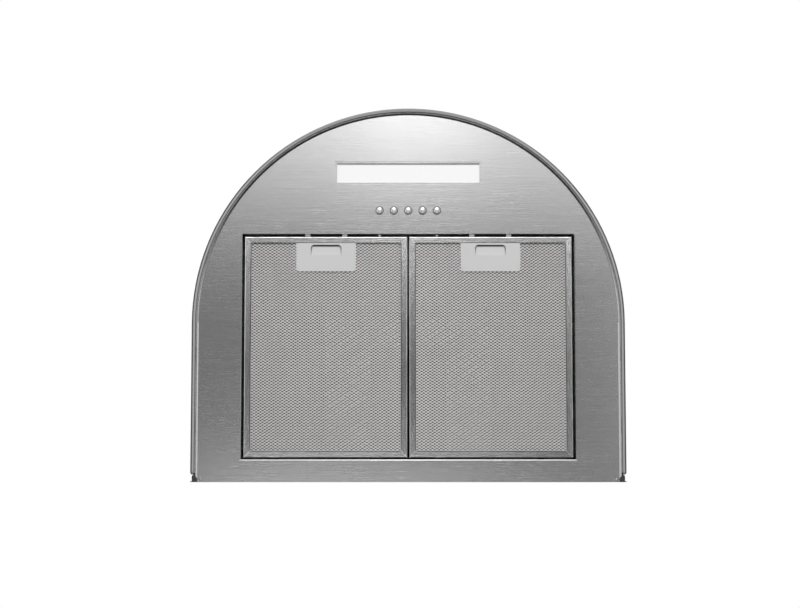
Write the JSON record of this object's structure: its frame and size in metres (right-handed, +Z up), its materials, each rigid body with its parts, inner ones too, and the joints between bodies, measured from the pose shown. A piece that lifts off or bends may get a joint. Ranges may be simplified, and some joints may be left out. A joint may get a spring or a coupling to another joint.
{
  "type": "curved glass range hood",
  "caption": "Wall-mounted range hood with a D-shaped steel underside inside a band of bent glass, hinged mesh grease filters, push-buttons, a lamp and a telescopic chimney.",
  "frame": {"origin": "on the wall plane, at the middle of the four wall fixing holes in the back panel", "axes": "+X to the hood's right as seen from the room, -Y out of the wall towards the cook, +Z up"},
  "size_m": [0.6, 0.5199, 0.6489],
  "materials": {
    "brushed_steel": "brushed stainless steel, fine straight grain",
    "clear_glass": "clear tempered glass with polished rims",
    "rubber": "matt black rubber",
    "frosted_lens": "white frosted acrylic",
    "lamp_glass": "phosphor-coated glass",
    "anodised_aluminium": "satin anodised aluminium",
    "aluminium_mesh": "bare expanded aluminium",
    "latch_enamel": "light grey enamel",
    "spring_steel": "bright spring steel",
    "chrome": "polished chrome",
    "galvanised_steel": "zinc-coated steel sheet",
    "white_plastic": "off-white moulded plastic",
    "dark_plastic": "black moulded plastic",
    "grey_plastic": "grey moulded plastic",
    "motor_steel": "dark painted steel",
    "polished_aluminium": "polished aluminium"
  },
  "bodies": {
    "hood": {"underside_pan": "brushed_steel", "canopy_shell": "brushed_steel", "back_panel": "galvanised_steel", "glass_fascia": "clear_glass", "glass_pads": "rubber", "glass_end_cap_left": "rubber", "glass_end_cap_right": "rubber", "lamp_lens": "frosted_lens", "lamp_housing": "galvanised_steel", "lamp_reflector": "polished_aluminium", "lamp_tube": "lamp_glass", "lamp_holder": "white_plastic", "button_bezels": "chrome", "switch_body": "white_plastic", "switch_bracket": "galvanised_steel", "blower_box": "galvanised_steel", "scroll_left": "dark_plastic", "scroll_right": "dark_plastic", "motor": "motor_steel", "motor_bracket": "galvanised_steel", "outlet_collar": "dark_plastic", "damper_pin": "spring_steel", "terminal_box": "white_plastic", "capacitor": "white_plastic", "chimney_lower": "brushed_steel"},
    "impeller": {"impeller": "grey_plastic", "motor_shaft": "spring_steel"},
    "chimney_upper": {"chimney_upper": "brushed_steel", "chimney_bracket": "galvanised_steel"},
    "damper_flap_front": {"damper_flap_front": "dark_plastic"},
    "damper_flap_rear": {"damper_flap_rear": "dark_plastic"},
    "push_button_1": {"push_button_1": "chrome"},
    "push_button_2": {"push_button_2": "chrome"},
    "push_button_3": {"push_button_3": "chrome"},
    "push_button_4": {"push_button_4": "chrome"},
    "push_button_5": {"push_button_5": "chrome"},
    "filter_left": {"filter_frame_left": "anodised_aluminium", "filter_front_mesh_left": "aluminium_mesh", "filter_core_left": "aluminium_mesh", "filter_rear_mesh_left": "aluminium_mesh", "latch_plate_left": "latch_enamel", "latch_spring_left": "spring_steel"},
    "latch_left": {"latch_slider_left": "latch_enamel", "latch_tongues_left": "spring_steel"},
    "filter_right": {"filter_frame_right": "anodised_aluminium", "filter_front_mesh_right": "aluminium_mesh", "filter_core_right": "aluminium_mesh", "filter_rear_mesh_right": "aluminium_mesh", "latch_plate_right": "latch_enamel", "latch_spring_right": "spring_steel"},
    "latch_right": {"latch_slider_right": "latch_enamel", "latch_tongues_right": "spring_steel"}
  },
  "joints": [
    {"name": "filter_left_hinge", "type": "hinge", "parent": "hood", "child": "filter_left", "pos_m": [-0.1143, -0.0316, -0.19795], "axis": [1, 0, 0], "range_deg": [0, 70], "deforming": ["latch_tongues_left"]},
    {"name": "latch_left_slide", "type": "slide", "parent": "filter_left", "child": "latch_left", "axis": [0, 1, 0], "range_m": [0, 0.007], "stiffness_N_per_m": 300, "springref_m": -0.004, "deforming": ["latch_spring_left"]},
    {"name": "filter_right_hinge", "type": "hinge", "parent": "hood", "child": "filter_right", "pos_m": [0.1143, -0.0316, -0.19795], "axis": [1, 0, 0], "range_deg": [0, 70], "deforming": ["latch_tongues_right"]},
    {"name": "latch_right_slide", "type": "slide", "parent": "filter_right", "child": "latch_right", "axis": [0, 1, 0], "range_m": [0, 0.007], "stiffness_N_per_m": 300, "springref_m": -0.004, "deforming": ["latch_spring_right"]},
    {"name": "push_button_1_travel", "type": "slide", "parent": "hood", "child": "push_button_1", "axis": [0, 0, 1], "range_m": [0, 0.003], "stiffness_N_per_m": 400, "springref_m": -0.001},
    {"name": "push_button_2_travel", "type": "slide", "parent": "hood", "child": "push_button_2", "axis": [0, 0, 1], "range_m": [0, 0.003], "stiffness_N_per_m": 400, "springref_m": -0.001},
    {"name": "push_button_3_travel", "type": "slide", "parent": "hood", "child": "push_button_3", "axis": [0, 0, 1], "range_m": [0, 0.003], "stiffness_N_per_m": 400, "springref_m": -0.001},
    {"name": "push_button_4_travel", "type": "slide", "parent": "hood", "child": "push_button_4", "axis": [0, 0, 1], "range_m": [0, 0.003], "stiffness_N_per_m": 400, "springref_m": -0.001},
    {"name": "push_button_5_travel", "type": "slide", "parent": "hood", "child": "push_button_5", "axis": [0, 0, 1], "range_m": [0, 0.003], "stiffness_N_per_m": 400, "springref_m": -0.001},
    {"name": "impeller_spin", "type": "hinge", "parent": "hood", "child": "impeller", "pos_m": [0, -0.09, -0.022], "axis": [1, 0, 0], "continuous": true},
    {"name": "damper_front_swing", "type": "hinge", "parent": "hood", "child": "damper_flap_front", "pos_m": [0, -0.138, 0.138], "axis": [-1, 0, 0], "range_deg": [0, 75]},
    {"name": "damper_rear_swing", "type": "hinge", "parent": "hood", "child": "damper_flap_rear", "pos_m": [0, -0.138, 0.138], "axis": [1, 0, 0], "range_deg": [0, 75]},
    {"name": "chimney_height", "type": "slide", "parent": "hood", "child": "chimney_upper", "axis": [0, 0, 1], "range_m": [0, 0.36]}
  ]
}
